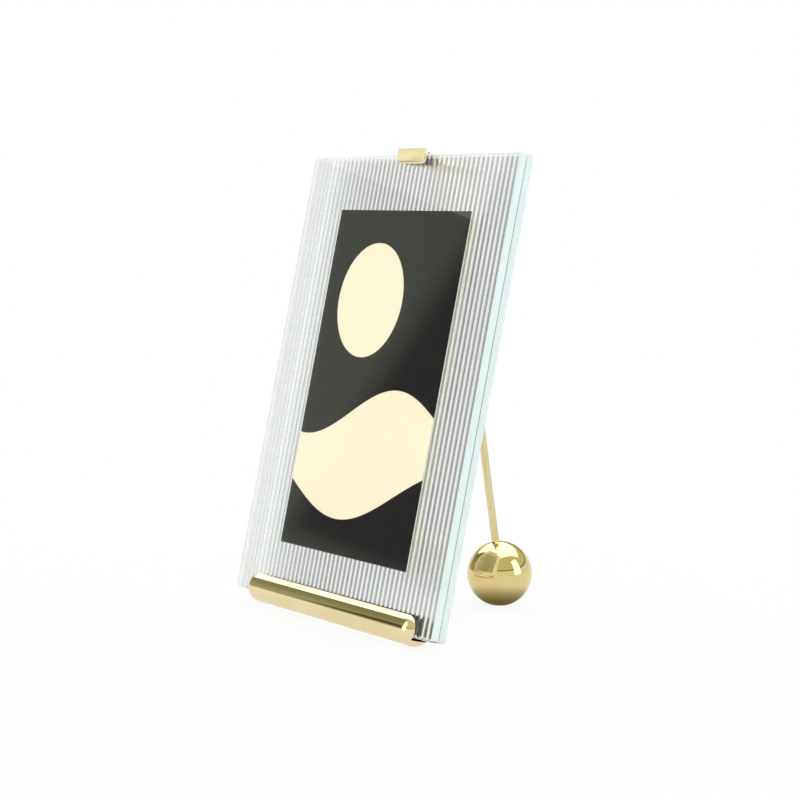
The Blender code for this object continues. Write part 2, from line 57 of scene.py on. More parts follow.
# Studio: a white table that runs to a white room, under an overhead soft box, with tall windows at the front
# and the right. The left is dark, which gives the brass its bands, and a black flag low on the left gives the
# front glass its dark part. Light that comes through glass meets a plainer room.
class Value:
    """A node's output. Sums written on it add Math nodes."""

    def __init__(self, nodes, socket):
        self.nodes, self.socket = nodes, socket

    def maths(self, operation, first, second):
        return self.nodes.add("ShaderNodeMath", {"operation": operation}, {0: first, 1: second})

    def __add__(self, other):
        return self.maths("ADD", self, other)

    def __radd__(self, other):
        return self.maths("ADD", other, self)

    def __sub__(self, other):
        return self.maths("SUBTRACT", self, other)

    def __rsub__(self, other):
        return self.maths("SUBTRACT", other, self)

    def __mul__(self, other):
        return self.maths("MULTIPLY", self, other)

    def __rmul__(self, other):
        return self.maths("MULTIPLY", other, self)

    def __truediv__(self, other):
        return self.maths("DIVIDE", self, other)


class Nodes:
    """A node tree to which nodes are added one by one."""

    def __init__(self, tree):
        self.tree = tree
        self.tree.nodes.clear()

    def add(self, kind, settings=None, inputs=None, output=0):
        """A node of a kind, with its settings and its sockets' values or links. It gives one output."""
        node = self.tree.nodes.new(kind)
        for name, setting in (settings or {}).items():
            setattr(node, name, setting)
        for name, value in (inputs or {}).items():
            self.plug(node.inputs[name], value)
        return Value(self, node.outputs[output]) if node.outputs else None

    def plug(self, socket, value):
        if isinstance(value, Value):
            self.tree.links.new(value.socket, socket)
        else:
            socket.default_value = value

    def step(self, value, low, high):
        """0 below low, 1 above high, and smooth between them."""
        return self.add("ShaderNodeMapRange", {"interpolation_type": "SMOOTHSTEP"},
                        {"Value": value, "From Min": low, "From Max": high})

    def band(self, value, low, high, edge):
        """1 between low and high, with soft edges."""
        return self.step(value, low - edge, low + edge) * (1 - self.step(value, high - edge, high + edge))

    def blend(self, factor, first, second):
        """The second colour over the first by the factor."""
        return self.add("ShaderNodeMix", {"data_type": "RGBA"}, {0: factor, 6: first, 7: second}, 2)

    def axes(self, vector):
        """The vector's three parts."""
        return [self.add("ShaderNodeSeparateXYZ", None, {0: vector}, i) for i in range(3)]


def ray(nodes, name):
    """One of the facts that the light path tells about a ray."""
    return nodes.add("ShaderNodeLightPath", None, None, name)


def through_glass(nodes, straight, colour):
    """The straight colour, but for light that comes through glass the other colour, and a stronger white
    where that light falls on a dull piece behind the glass."""
    on_dull_piece = nodes.step(ray(nodes, "Diffuse Depth"), 0.4, 0.6)
    seen = nodes.blend(on_dull_piece, colour, (2.35, 2.35, 2.35, 1))
    return nodes.blend(ray(nodes, "Is Transmission Ray"), straight, seen)


world = bpy.data.worlds.new("studio")
scene.world = world
world.use_nodes = True
air = Nodes(world.node_tree)
across, along, up = air.axes(air.add("ShaderNodeTexCoord", None, None, "Generated"))


def window(azimuth, half_width, low, high):
    """1 inside an upright pane that faces the frame from an azimuth, counted from +X towards +Y."""
    toward = across * math.cos(azimuth) + along * math.sin(azimuth)
    aside = along * math.cos(azimuth) - across * math.sin(azimuth)
    pane = air.band(aside / toward, -half_width, half_width, 0.01) * air.band(up / toward, low, high, 0.01)
    return pane * air.step(toward, 0.01, 0.02)


ceiling = (air.band(across / up, -1.9, 0.45, 0.03) * air.band(along / up, -0.33, 1.2, 0.02)
           * air.step(up, 0.01, 0.02))
dark_left = air.step(across, -0.45, -0.6) * air.step(along, -0.03, -0.12)
dark_line = air.band(up, 0.26, 0.325, 0.01)
low_wall, high_wall = (0.93, 0.92, 0.88, 1), (0.70, 0.68, 0.50, 1)
room = air.blend(air.step(up, 0.26, 0.275), low_wall, high_wall)
room = air.blend(dark_line, room, (0.25, 0.24, 0.16, 1))
far_corner = air.step(across, -0.2, -0.4) * air.step(along, 0.4, 0.5) * air.band(up, 0.25, 0.42, 0.03)
room = air.blend(far_corner, room, (0.27, 0.25, 0.15, 1))
left_wall = air.blend(air.step(up, 0, 0.5), (0.42, 0.45, 0.31, 1), (0.24, 0.25, 0.16, 1))
room = air.blend(dark_left, room, left_wall)
flag_side = 0.494 * across - 0.846 * along - 0.198 * up
flag = air.step(flag_side, -0.009, 0.009) * air.band(up, 0.079, 0.26, 0.008) * air.step(across, -0.72, -0.77)
room = air.blend(flag, room, (0.09, 0.09, 0.07, 1))
plain_white, soft_light = (1, 1, 1, 1), (1.87, 1.87, 1.87, 1)
overhead = air.blend(air.step(across / up, -1.45, -1.1), soft_light, (2.5, 2.5, 2.6, 1))
room = air.blend(ceiling, room, overhead)
room = air.blend(window(math.radians(-114), 0.28, 0, 1.0), room, soft_light)
room = air.blend(window(math.radians(33), 0.24, 0, 0.95), room, (2.6, 2.6, 2.8, 1))
room = air.blend(ray(air, "Is Glossy Ray"), (0.80, 0.80, 0.80, 1), room)
grey_left = air.step(across, -0.2, -0.35) * air.step(along, -0.02, -0.10)
plain_room = air.blend(grey_left, plain_white, (0.45, 0.46, 0.46, 1))
plain_room = air.blend(flag, plain_room, (0.22, 0.22, 0.22, 1))
room = through_glass(air, room, plain_room)
room = air.blend(ray(air, "Is Camera Ray"), room, plain_white)
air.add("ShaderNodeOutputWorld", None, {"Surface": air.add("ShaderNodeBackground", None, {"Color": room})})


def soft_box(name, width, depth, radiance, location, rotation):
    """A flat lamp of even brightness."""
    data = bpy.data.lights.new(name, "AREA")
    data.shape = "RECTANGLE"
    data.size, data.size_y = width, depth
    data.energy = radiance * math.pi * width * depth
    lamp = bpy.data.objects.new(name, data)
    lamp.location = location
    lamp.rotation_euler = rotation
    lamp.visible_camera = lamp.visible_transmission = False
    scene.collection.objects.link(lamp)
    return lamp


soft_box("overhead", 2.45, 1.5, 0.7, (-0.63, 0.42, 1.0), (0, 0, 0)).visible_glossy = False
card_place = Vector((-0.131, -0.038, 0.2515))
behind_clip = Vector((0.0024, 0.041, 0.2))
card_turn = (behind_clip - card_place).to_track_quat("-Z", "Y").to_euler()
soft_box("reflector_card", 0.09, 0.058, 0.74, card_place, card_turn).visible_diffuse = False

bpy.ops.object.select_all(action="DESELECT")
bpy.ops.mesh.primitive_plane_add(size=60, location=(0, 0, 0))
table = bpy.context.object
table.name = "table_top"
table_material = bpy.data.materials.new("white_table")
table_material.use_nodes = True
top = Nodes(table_material.node_tree)
spot = top.add("ShaderNodeTexCoord", None, None, "Object")
from_middle = top.add("ShaderNodeVectorMath", {"operation": "LENGTH"}, {0: spot}, "Value")
far = top.step(from_middle, 0.10, 0.45)
spot_x, spot_y, _ = top.axes(spot)
right_end = top.step(spot_x, 1.1, 1.2) * top.step(spot_y, -0.1, 0)
ball_spot = (0.0024, 0.086, 0)
from_ball = top.add("ShaderNodeVectorMath", {"operation": "DISTANCE"}, {0: spot, 1: ball_spot}, "Value")
# Painted shadow: a dark brown patch on the table under the ball, which only reflections see.
painted_shadow_under_ball = 1 - top.step(from_ball, 0.006, 0.031)
open_table = top.blend(right_end, plain_white, (0.15, 0.15, 0.13, 1))
mirrored = top.blend(painted_shadow_under_ball, open_table, (0.12, 0.115, 0.04, 1))
reflected = top.blend(ray(top, "Is Glossy Ray"), plain_white, mirrored)
white = through_glass(top, reflected, open_table)
direct = (ray(top, "Is Camera Ray") + ray(top, "Is Transmission Ray")) * (0.90 + 0.10 * far)
share = direct + ray(top, "Is Glossy Ray") * (0.75 + 0.25 * far)
top.add("ShaderNodeOutputMaterial", None, {"Surface": top.add("ShaderNodeMixShader", None, {
    0: share, 1: top.add("ShaderNodeBsdfDiffuse", None, {"Color": (0.9, 0.9, 0.9, 1)}),
    2: top.add("ShaderNodeEmission", None, {"Color": white})})})
table.data.materials.append(table_material)


# Base rail: a solid brass bar, 14 mm round, with domed ends. It is slotted from end to end for the plates,
# grooved underneath for a felt strip, and polished and lacquered. The slot's faces carry painted shade.
rail_radius = 0.0070
rail_straight = 0.1375 / 2 - rail_radius
rail_height = 0.00725
slot_half, slot_floor = 0.00385, -0.0041
groove_half_length, groove_half_width, groove_top = 0.0560, 0.0020, 0.0013
lean = math.radians(12.5)
panel = Matrix.Translation((0, 0, rail_height)) @ Matrix.Rotation(-lean, 4, "X")
weld, hair = 0.000002, 0.00001


def name_it(name):
    """Name the object that has just been added, which is open in edit mode."""
    piece = bpy.context.object
    piece.name = piece.data.name = name
    return piece


def block(name, low, high):
    """A box between two corners, open in edit mode."""
    bpy.ops.object.select_all(action="DESELECT")
    bpy.ops.mesh.primitive_cube_add(size=1, location=(0, 0, 0), enter_editmode=True)
    bpy.ops.transform.resize(value=[b - a for a, b in zip(low, high)], center_override=(0, 0, 0))
    bpy.ops.transform.translate(value=[(a + b) / 2 for a, b in zip(low, high)])
    return name_it(name)


def pick(kind, test):
    """Select the vertices, edges or faces whose centre and direction pass the test, and nothing else."""
    bpy.ops.mesh.select_mode(type=kind)
    bpy.ops.mesh.select_all(action="DESELECT")
    mesh = bmesh.from_edit_mesh(bpy.context.object.data)
    if kind == "VERT":
        chosen = [v for v in mesh.verts if test(v.co, v.normal)]
    elif kind == "EDGE":
        chosen = [e for e in mesh.edges if test((e.verts[0].co + e.verts[1].co) / 2,
                                                (e.verts[1].co - e.verts[0].co).normalized())]
    else:
        chosen = [f for f in mesh.faces if test(f.calc_center_median(), f.normal)]
    for element in chosen:
        element.select_set(True)
    mesh.select_flush_mode()
    bmesh.update_edit_mesh(bpy.context.object.data)


def close_edit():
    bpy.ops.object.mode_set(mode="OBJECT")
    return bpy.context.object


def open_edit(piece):
    bpy.ops.object.select_all(action="DESELECT")
    bpy.context.view_layer.objects.active = piece
    piece.select_set(True)
    bpy.ops.object.mode_set(mode="EDIT")


def place(piece, matrix):
    """Put a finished shape where it belongs, in its mesh."""
    piece.data.transform(matrix)
    piece.data.update()


def join_shape(piece, tool, operation):
    """Cut, add or keep a tool's shape on a piece, and clear the tool away."""
    modifier = piece.modifiers.new(operation, "BOOLEAN")
    modifier.operation = operation
    modifier.solver = "EXACT"
    modifier.object = tool
    apply_last(piece)
    bpy.data.objects.remove(tool, do_unlink=True)


def apply_last(piece):
    bpy.ops.object.select_all(action="DESELECT")
    bpy.context.view_layer.objects.active = piece
    piece.select_set(True)
    bpy.ops.object.modifier_apply(modifier=piece.modifiers[-1].name)


def complete(piece, body, material, nodes, smooth=30):
    """Merge, turn the faces outwards, smooth, and hang the piece on its body."""
    open_edit(piece)
    bpy.ops.mesh.select_all(action="SELECT")
    bpy.ops.mesh.remove_doubles(threshold=weld)
    bpy.ops.mesh.normals_make_consistent(inside=False)
    close_edit()
    bpy.ops.object.shade_smooth_by_angle(angle=math.radians(smooth))
    piece.data.materials.clear()
    piece.data.materials.append(material)
    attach(piece, body)
    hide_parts(*nodes)
    return piece


def polished_brass(name, colour, deep, rough):
    """Lacquered brass: soft cloudiness in tone, fine polishing lines and a few wiped patches."""
    material = bpy.data.materials.new(name)
    material.use_nodes = True
    skin = Nodes(material.node_tree)
    spot = skin.add("ShaderNodeTexCoord", None, None, "Object")
    cloud = skin.add("ShaderNodeTexNoise", None, {"Vector": spot, "Scale": 70, "Detail": 3})
    wiped = skin.add("ShaderNodeTexNoise", None,
                     {"Vector": spot, "Scale": 260, "Detail": 4, "Roughness": 0.6})
    stretched = skin.add("ShaderNodeMapping", None, {"Vector": spot, "Scale": (1, 14, 14)})
    lines = skin.add("ShaderNodeTexNoise", None, {"Vector": stretched, "Scale": 420, "Detail": 2})
    tone = skin.blend(skin.step(cloud, 0.35, 0.7), (*colour, 1), (*deep, 1))
    bump = skin.add("ShaderNodeBump", None, {"Strength": 0.04, "Distance": 0.00002, "Height": lines})
    shader = skin.add("ShaderNodeBsdfPrincipled", None, {
        "Base Color": tone, "Metallic": 1.0, "Normal": bump,
        "Roughness": rough + 0.03 * skin.step(wiped, 0.45, 0.75) + 0.015 * lines})
    skin.add("ShaderNodeOutputMaterial", None, {"Surface": shader})
    return material


rail_brass = polished_brass("rail_brass", (0.84, 0.72, 0.43), (0.80, 0.67, 0.37), 0.035)

bpy.ops.object.select_all(action="DESELECT")
bpy.ops.mesh.primitive_uv_sphere_add(segments=96, ring_count=48, radius=rail_radius, location=(0, 0, 0),
                                     enter_editmode=True)
rail = name_it("rail_bar")
bpy.ops.transform.rotate(value=math.pi / 2, orient_axis="Y", center_override=(0, 0, 0))
pick("FACE", lambda centre, normal: centre.x < 0)
bpy.ops.mesh.delete(type="FACE")
bpy.ops.mesh.select_all(action="SELECT")
bpy.ops.transform.translate(value=(rail_straight, 0, 0))
pick("EDGE", lambda centre, line: centre.x < rail_straight + 0.000001)
bpy.ops.mesh.extrude_edges_move(TRANSFORM_OT_translate={"value": (-rail_straight, 0, 0)})
close_edit()
mirror = rail.modifiers.new("other_half", "MIRROR")
mirror.merge_threshold = weld
apply_last(rail)
place(rail, Matrix.Translation((0, 0, rail_height)))
slot_tool = block("slot_tool", (-0.1, -slot_half, slot_floor), (0.1, slot_half, 0.02))
place(close_edit(), panel)
join_shape(rail, slot_tool, "DIFFERENCE")
groove_tool = block("groove_tool", (-groove_half_length, -groove_half_width, -0.001),
                    (groove_half_length, groove_half_width, groove_top))
close_edit()
join_shape(rail, groove_tool, "DIFFERENCE")
complete(rail, "rail", rail_brass, ["base_rail"])
# Painted shade: a nearly black brass on the faces inside the slot, for the shade that falls there.
slot_painted_shade = polished_brass("slot_painted_shade", (0.07, 0.07, 0.045), (0.05, 0.05, 0.03), 0.12)
rail.data.materials.append(slot_painted_shade)
for face in rail.data.polygons:
    centre = panel.inverted() @ face.center
    if abs(centre.y) < slot_half + hair and centre.z > slot_floor - hair:
        face.material_index = 1


# Slot strip and rail pad: a black rubber strip that the plates stand on in the slot, and a pale felt strip
# glued into the groove under the rail.
def plain_finish(name, colour, second, rough, grain, height, painted_glow=0):
    """A dull finish with a fine grain, such as rubber, felt or nylon. It may be given a painted glow in its
    own colour, which the pale felt has to stay light in the shade under the rail."""
    material = bpy.data.materials.new(name)
    material.use_nodes = True
    skin = Nodes(material.node_tree)
    spot = skin.add("ShaderNodeTexCoord", None, None, "Object")
    fine = skin.add("ShaderNodeTexNoise", None,
                    {"Vector": spot, "Scale": grain, "Detail": 4, "Roughness": 0.65})
    tone = skin.blend(skin.step(fine, 0.3, 0.7), (*colour, 1), (*second, 1))
    bump = skin.add("ShaderNodeBump", None, {"Strength": 0.5, "Distance": height, "Height": fine})
    shader = skin.add("ShaderNodeBsdfPrincipled", None, {
        "Base Color": tone, "Roughness": rough + 0.1 * fine, "Normal": bump,
        "Emission Color": tone, "Emission Strength": painted_glow})
    skin.add("ShaderNodeOutputMaterial", None, {"Surface": shader})
    return material


def padded_block(name, low, high, edge):
    """A block with its edges eased, for a strip or a pad."""
    piece = block(name, low, high)
    bpy.ops.mesh.select_all(action="SELECT")
    bpy.ops.mesh.bevel(offset=edge, segments=3, affect="EDGES")
    close_edit()
    return piece


rubber = plain_finish("black_rubber", (0.022, 0.022, 0.023), (0.045, 0.044, 0.043), 0.6, 2500, 0.00002)
# The felt's painted glow keeps it light in the shade under the rail and the ball.
felt = plain_finish("pale_felt", (0.72, 0.70, 0.66), (0.80, 0.78, 0.74), 0.9, 4000, 0.00008, 0.8)

strip_half_length, strip_half_width = 0.06275, 0.00355
strip_bottom, strip_top = -0.0038, -0.0032
felt_half_length, felt_half_width, felt_top = 0.05575, 0.0017, 0.0010
eased = 0.00015

strip = padded_block("slot_rubber", (-strip_half_length, -strip_half_width, strip_bottom),
                     (strip_half_length, strip_half_width, strip_top), eased)
place(strip, panel)
complete(strip, "rail", rubber, ["slot_strip"])
rail_felt = padded_block("rail_felt", (-felt_half_length, -felt_half_width, 0),
                         (felt_half_length, felt_half_width, felt_top), eased)
complete(rail_felt, "rail", felt, ["rail_pad"])


# Back glass: a plate of reeded glass, a little over 3 mm thick. Upright reeds are rolled into its front, edge
# to edge. It is cut to size with round corners, its back is flat, and its rim is ground and polished.
plate_half, plate_low, plate_high = 0.080, -0.0029, 0.1996
corner_radius, narrow_arris, wide_arris = 0.0018, 0.0003, 0.0004
reed_pitch, reed_height = 0.003375, 0.0006
reed_radius = ((reed_pitch / 2) ** 2 + reed_height ** 2) / (2 * reed_height)
reed_sweep = 2 * math.asin(reed_pitch / 2 / reed_radius)
crest, valley, flat_back = 0.00010, 0.00070, 0.00355
reed_count = 50
sheet_left = 0.0015 - reed_count / 2 * reed_pitch
sheet_height = 0.2065


def plate(name, front, back, front_arris, back_arris):
    """A glass plate with round corners and a ground arris round each face."""
    piece = block(name, (-plate_half, front, plate_low), (plate_half, back, plate_high))
    pick("EDGE", lambda centre, line: abs(line.y) > 0.9)
    bpy.ops.mesh.bevel(offset=corner_radius, segments=8, affect="EDGES")
    for side, arris in ((-1, front_arris), (1, back_arris)):
        pick("FACE", lambda centre, normal: normal.y * side > 0.9)
        bpy.ops.mesh.region_to_loop()
        bpy.ops.mesh.bevel(offset=arris, segments=1, affect="EDGES")
    close_edit()
    return piece


def clear_glass(name, tint, rough):
    """Clear glass, polished or a little dull, with the faintest haze. Light that has gone to and fro inside
    it is
    given a painted glow: a dark grey seen from inside the glass, and a paler one from outside, between two
    plates."""
    material = bpy.data.materials.new(name)
    material.use_nodes = True
    body = Nodes(material.node_tree)
    spot = body.add("ShaderNodeTexCoord", None, None, "Object")
    haze = body.add("ShaderNodeTexNoise", None, {"Vector": spot, "Scale": 45, "Detail": 3})
    # Painted glow on rays that have turned back three times, for the grey stripes of trapped light.
    painted_trapped_glow = body.band(ray(body, "Glossy Depth"), 2.5, 3.5, 0.1)
    inside = body.add("ShaderNodeNewGeometry", None, None, "Backfacing")
    grey = body.blend(inside, (0.66, 0.74, 0.73, 1), (0.24, 0.245, 0.245, 1))
    shader = body.add("ShaderNodeBsdfPrincipled", None, {
        "Base Color": body.blend(haze, (*tint, 1), (1, 1, 1, 1)), "Transmission Weight": 1.0, "IOR": 1.5,
        "Roughness": rough + 0.004 * haze, "Emission Color": body.blend(painted_trapped_glow, (0, 0, 0, 1), grey),
        "Emission Strength": 1.0})
    body.add("ShaderNodeOutputMaterial", None, {"Surface": shader})
    return material


def ground_rim(name, pale, green):
    """A plate's rim, finely ground and polished. It has a painted glow: a faint one of its own tone from
    outside, and from inside the plate a pale grey over a dark grey colour, as pale as the room."""
    material = bpy.data.materials.new(name)
    material.use_nodes = True
    body = Nodes(material.node_tree)
    spot = body.add("ShaderNodeTexCoord", None, None, "Object")
    drawn = body.add("ShaderNodeMapping", None, {"Vector": spot, "Scale": (1, 1, 0.06)})
    streak = body.add("ShaderNodeTexNoise", None, {"Vector": drawn, "Scale": 900, "Detail": 3})
    cloud = body.add("ShaderNodeTexNoise", None, {"Vector": spot, "Scale": 40, "Detail": 2})
    tone = body.blend(body.step(0.6 * streak + 0.4 * cloud, 0.35, 0.65), (*green, 1), (*pale, 1))
    bump = body.add("ShaderNodeBump", None, {"Strength": 0.1, "Distance": 0.00001, "Height": streak})
    inside = body.add("ShaderNodeNewGeometry", None, None, "Backfacing")
    # Painted glow: the rim glows faintly in its own tone, and pale grey where seen from inside the plate.
    painted_glow = body.blend(inside, body.blend(0.15, (0, 0, 0, 1), tone), (0.70, 0.71, 0.70, 1))
    tone = body.blend(inside, tone, (0.18, 0.18, 0.18, 1))
    shader = body.add("ShaderNodeBsdfPrincipled", None, {
        "Base Color": tone, "Roughness": 0.22 + 0.15 * streak, "Normal": bump,
        "Emission Color": painted_glow, "Emission Strength": 1.0})
    body.add("ShaderNodeOutputMaterial", None, {"Surface": shader})
    return material


def paint_rim(piece, material):
    """Give a finished plate's sides and top edge their own look. Its foot, in the slot, is left clear."""
    piece.data.materials.append(material)
    upright = panel.to_3x3().inverted()
    for face in piece.data.polygons:
        normal = upright @ face.normal
        if abs(normal.y) < 0.74 and normal.z > -0.5:
            face.material_index = 1


bpy.ops.object.select_all(action="DESELECT")
bpy.ops.mesh.primitive_plane_add(size=1, location=(0, 0, 0), enter_editmode=True)
back_plate = name_it("reeded_plate")
pick("VERT", lambda corner, normal: corner.x > 0)
bpy.ops.mesh.delete(type="VERT")
bpy.ops.mesh.select_all(action="SELECT")
bpy.ops.transform.rotate(value=math.pi / 2, orient_axis="X", center_override=(0, 0, 0))
bpy.ops.transform.resize(value=(1, 1, sheet_height), center_override=(0, 0, 0))
bpy.ops.transform.translate(value=(0.5 + sheet_left, valley, (plate_low + plate_high) / 2))
reed_middle = (sheet_left + reed_pitch / 2, crest + reed_radius, 0)
bpy.ops.mesh.spin(steps=12, angle=-reed_sweep, center=reed_middle, axis=(0, 0, 1))
close_edit()
row = back_plate.modifiers.new("reeds", "ARRAY")
row.count = reed_count
row.use_relative_offset = False
row.use_constant_offset = True
row.constant_offset_displace = (reed_pitch, 0, 0)
row.use_merge_vertices = True
row.merge_threshold = weld
apply_last(back_plate)
open_edit(back_plate)
bpy.ops.mesh.select_all(action="SELECT")
bpy.ops.mesh.extrude_region_move(TRANSFORM_OT_translate={"value": (0, 0.003, 0)})
bpy.ops.transform.resize(value=(1, 0, 1), center_override=(0, flat_back, 0))
bpy.ops.mesh.select_all(action="SELECT")
bpy.ops.mesh.normals_make_consistent(inside=False)
close_edit()
rim_tool = plate("rim_tool", crest - 0.0001, flat_back, narrow_arris, wide_arris)
join_shape(back_plate, rim_tool, "INTERSECT")
place(back_plate, panel)
reeded_clear = clear_glass("reeded_clear", (0.97, 0.99, 0.985), 0.08)
complete(back_plate, "back_plate", reeded_clear, ["back_glass"], 20)
paint_rim(back_plate, ground_rim("reeded_rim", (0.75, 0.86, 0.85), (0.67, 0.81, 0.80)))


# Front glass: a plate of clear float glass, a little over 3 mm thick and as large as the back glass. It has
# the same round corners, and an arris that is wider on the face that shows.
float_front, float_back = -0.00355, -0.00029
front_plate = plate("front_plate_clear", float_front, float_back, wide_arris, 0.00015)
place(front_plate, panel)
float_clear = clear_glass("float_clear", (0.98, 0.995, 0.99), 0)
complete(front_plate, "front_plate", float_clear, ["front_glass"])
paint_rim(front_plate, ground_rim("float_rim", (0.78, 0.90, 0.87), (0.70, 0.85, 0.83)))


# Print: a sheet of heavy matt paper, 101.6 x 152.4 mm, printed in black and cream with a plain disc over two
# rolling bands. Its back is a dull grey-green. It stands in the middle, between the plates.
print_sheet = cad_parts["photo_print"]
print_middle = panel @ Vector((0, 0, 0.09835))
disc_middle = (-0.014, -0.0001, 0.036)
paper = bpy.data.materials.new("printed_paper")
paper.use_nodes = True
ink = Nodes(paper.node_tree)
spot = ink.add("ShaderNodeTexCoord", None, None, "Object")
flat = ink.add("ShaderNodeMapping", {"vector_type": "TEXTURE"}, {
    "Vector": spot, "Location": print_middle, "Rotation": (-lean, 0, 0)})
sheet_x, sheet_y, sheet_z = ink.axes(flat)
from_disc = ink.add("ShaderNodeVectorMath", {"operation": "DISTANCE"}, {0: flat, 1: disc_middle}, "Value")
disc = 1 - ink.step(from_disc, 0.0254, 0.0256)
high_wave = ink.add("ShaderNodeMath", {"operation": "SINE"}, {0: sheet_x * 46 + 0.6})
high_band = 1 - ink.step(sheet_z - 0.012 * high_wave, -0.0141, -0.0139)
low_wave = ink.add("ShaderNodeMath", {"operation": "SINE"}, {0: sheet_x * 38 - 1.2})
low_band = 1 - ink.step(sheet_z - 0.014 * low_wave, -0.0471, -0.0469)
cream_part = disc + high_band * (1 - low_band)
grain = ink.add("ShaderNodeTexNoise", None, {"Vector": spot, "Scale": 2200, "Detail": 3})
picture = ink.blend(cream_part, (0.0012, 0.0012, 0.0012, 1), (0.93, 0.835, 0.615, 1))
picture = ink.blend(0.004 * grain, picture, (0.5, 0.48, 0.4, 1))
front_side = 1 - ink.step(sheet_y, -0.0001, 0.0)
paper_bump = ink.add("ShaderNodeBump", None, {"Strength": 0.15, "Distance": 0.00002, "Height": grain})
ink.add("ShaderNodeOutputMaterial", None, {"Surface": ink.add("ShaderNodeBsdfPrincipled", None, {
    "Base Color": ink.blend(front_side, (0.34, 0.35, 0.25, 1), picture),
    "Roughness": 0.55 + 0.1 * grain, "IOR": 1.05, "Normal": paper_bump})})
print_sheet.data.materials.clear()
print_sheet.data.materials.append(paper)


# Clip: a strip of brass, 1.5 mm thick, folded over the top edge of both plates. Its corners are round, its
# edges are eased, it is brushed to a satin finish, and a pocket in each jaw holds a rubber pad.
clip_offset = 0.0024
clip_place = panel @ Matrix.Translation((clip_offset, 0, 0))
clip_half, clip_outer, clip_inner = 0.0107, 0.0055, 0.0040
clip_low, clip_inner_top, clip_top = 0.1948, 0.1999, 0.2014
clip_corner, clip_edge = 0.0026, 0.0005
pad_middle, pad_half_width, pad_half_height = 0.1972, 0.0080, 0.0017
pocket_floor, pocket_margin = 0.00439, 0.0003
pad_inner, pad_outer = 0.00377, 0.00417
screw_offset, hole_radius = 0.0065, 0.0010

satin_brass = polished_brass("satin_brass", (0.86, 0.74, 0.46), (0.83, 0.70, 0.41), 0.12)

clip = block("clip_strap", (-clip_half, -clip_outer, clip_low), (clip_half, clip_outer, clip_top))
pick("EDGE", lambda centre, line: abs(line.y) > 0.9 and centre.z < clip_low + hair)
bpy.ops.mesh.bevel(offset=clip_corner, segments=10, affect="EDGES")
pick("FACE", lambda centre, normal: abs(normal.y) > 0.9)
bpy.ops.mesh.region_to_loop()
bpy.ops.mesh.bevel(offset=clip_edge, segments=4, affect="EDGES")
close_edit()
jaw_tool = block("jaw_tool", (-0.02, -clip_inner, 0.18), (0.02, clip_inner, clip_inner_top))
close_edit()
join_shape(clip, jaw_tool, "DIFFERENCE")
pocket_half = pad_half_width + pocket_margin
pocket_tool = block(
    "pocket_tool", (-pocket_half, -pocket_floor, pad_middle - pad_half_height - pocket_margin),
    (pocket_half, pocket_floor, pad_middle + pad_half_height + pocket_margin))
close_edit()
join_shape(clip, pocket_tool, "DIFFERENCE")


def drill(radius, start, end, axis):
    """A drill for a round hole between two points along an axis."""
    bpy.ops.object.select_all(action="DESELECT")
    middle = [(a + b) / 2 for a, b in zip(start, end)]
    length = max(abs(b - a) for a, b in zip(start, end))
    turn = {"X": (0, math.pi / 2, 0), "Y": (math.pi / 2, 0, 0), "Z": (0, 0, 0)}[axis]
    bpy.ops.mesh.primitive_cylinder_add(vertices=40, radius=radius, depth=length, location=middle,
                                        rotation=turn)
    bpy.ops.object.transform_apply(location=True, rotation=True, scale=True)
    return name_it("drill")


for side in (-screw_offset, screw_offset):
    bit = drill(hole_radius, (side, 0.0042, pad_middle), (side, 0.0060, pad_middle), "Y")
    join_shape(clip, bit, "DIFFERENCE")
place(clip, clip_place)
complete(clip, "clip", satin_brass, ["clip_channel"])

for name, node, low, high in (("front_pad", "front_jaw_pad", -pad_outer, -pad_inner),
                              ("rear_pad", "rear_jaw_pad", pad_inner, pad_outer)):
    pad = padded_block(name, (-pad_half_width, low, pad_middle - pad_half_height),
                       (pad_half_width, high, pad_middle + pad_half_height), 0.0001)
    place(pad, clip_place)
    complete(pad, "clip", rubber, [node])


# Hinge bracket: a small brass flange, screwed to the clip's rear jaw, with two ears that carry the pin. Its
# corners are round and its edges are eased.
hinge_brass = polished_brass("hinge_brass", (0.82, 0.69, 0.39), (0.78, 0.64, 0.33), 0.10)
pivot_y, pivot_z, ear_radius = 0.01505, 0.1974, 0.0022
flange_half, flange_low, flange_high = 0.0090, 0.1951, 0.1997
flange_front, flange_back = 0.0058, 0.0076
flange_corner, flange_edge = 0.0015, 0.00025
ear_root, ear_gap, ear_thickness, ear_edge = 0.0067, 0.0023, 0.0013, 0.00015

bracket = block("bracket_flange", (-flange_half, flange_front, flange_low),
                (flange_half, flange_back, flange_high))
pick("EDGE", lambda centre, line: abs(line.y) > 0.9)
bpy.ops.mesh.bevel(offset=flange_corner, segments=8, affect="EDGES")
pick("FACE", lambda centre, normal: normal.y > 0.9)
bpy.ops.mesh.region_to_loop()
bpy.ops.mesh.bevel(offset=flange_edge, segments=2, affect="EDGES")
close_edit()
for side in (-1, 1):
    inner, outer = sorted((side * ear_gap, side * (ear_gap + ear_thickness)))
    ear = block("ear", (inner, ear_root, pivot_z - ear_radius),
                (outer, pivot_y + ear_radius, pivot_z + ear_radius))
    pick("EDGE", lambda centre, line: abs(line.x) > 0.9 and centre.y > pivot_y)
    bpy.ops.mesh.bevel(offset=ear_radius * 0.999, segments=12, affect="EDGES")
    pick("FACE", lambda centre, normal: abs(normal.x) > 0.9)
    bpy.ops.mesh.region_to_loop()
    bpy.ops.mesh.bevel(offset=ear_edge, segments=2, affect="EDGES")
    close_edit()
    join_shape(bracket, ear, "UNION")
bit = drill(hole_radius, (-0.006, pivot_y, pivot_z), (0.006, pivot_y, pivot_z), "X")
join_shape(bracket, bit, "DIFFERENCE")
for side in (-screw_offset, screw_offset):
    bit = drill(hole_radius, (side, 0.005, pad_middle), (side, 0.009, pad_middle), "Y")
    join_shape(bracket, bit, "DIFFERENCE")
place(bracket, clip_place)
complete(bracket, "clip", hinge_brass, ["hinge_bracket"])


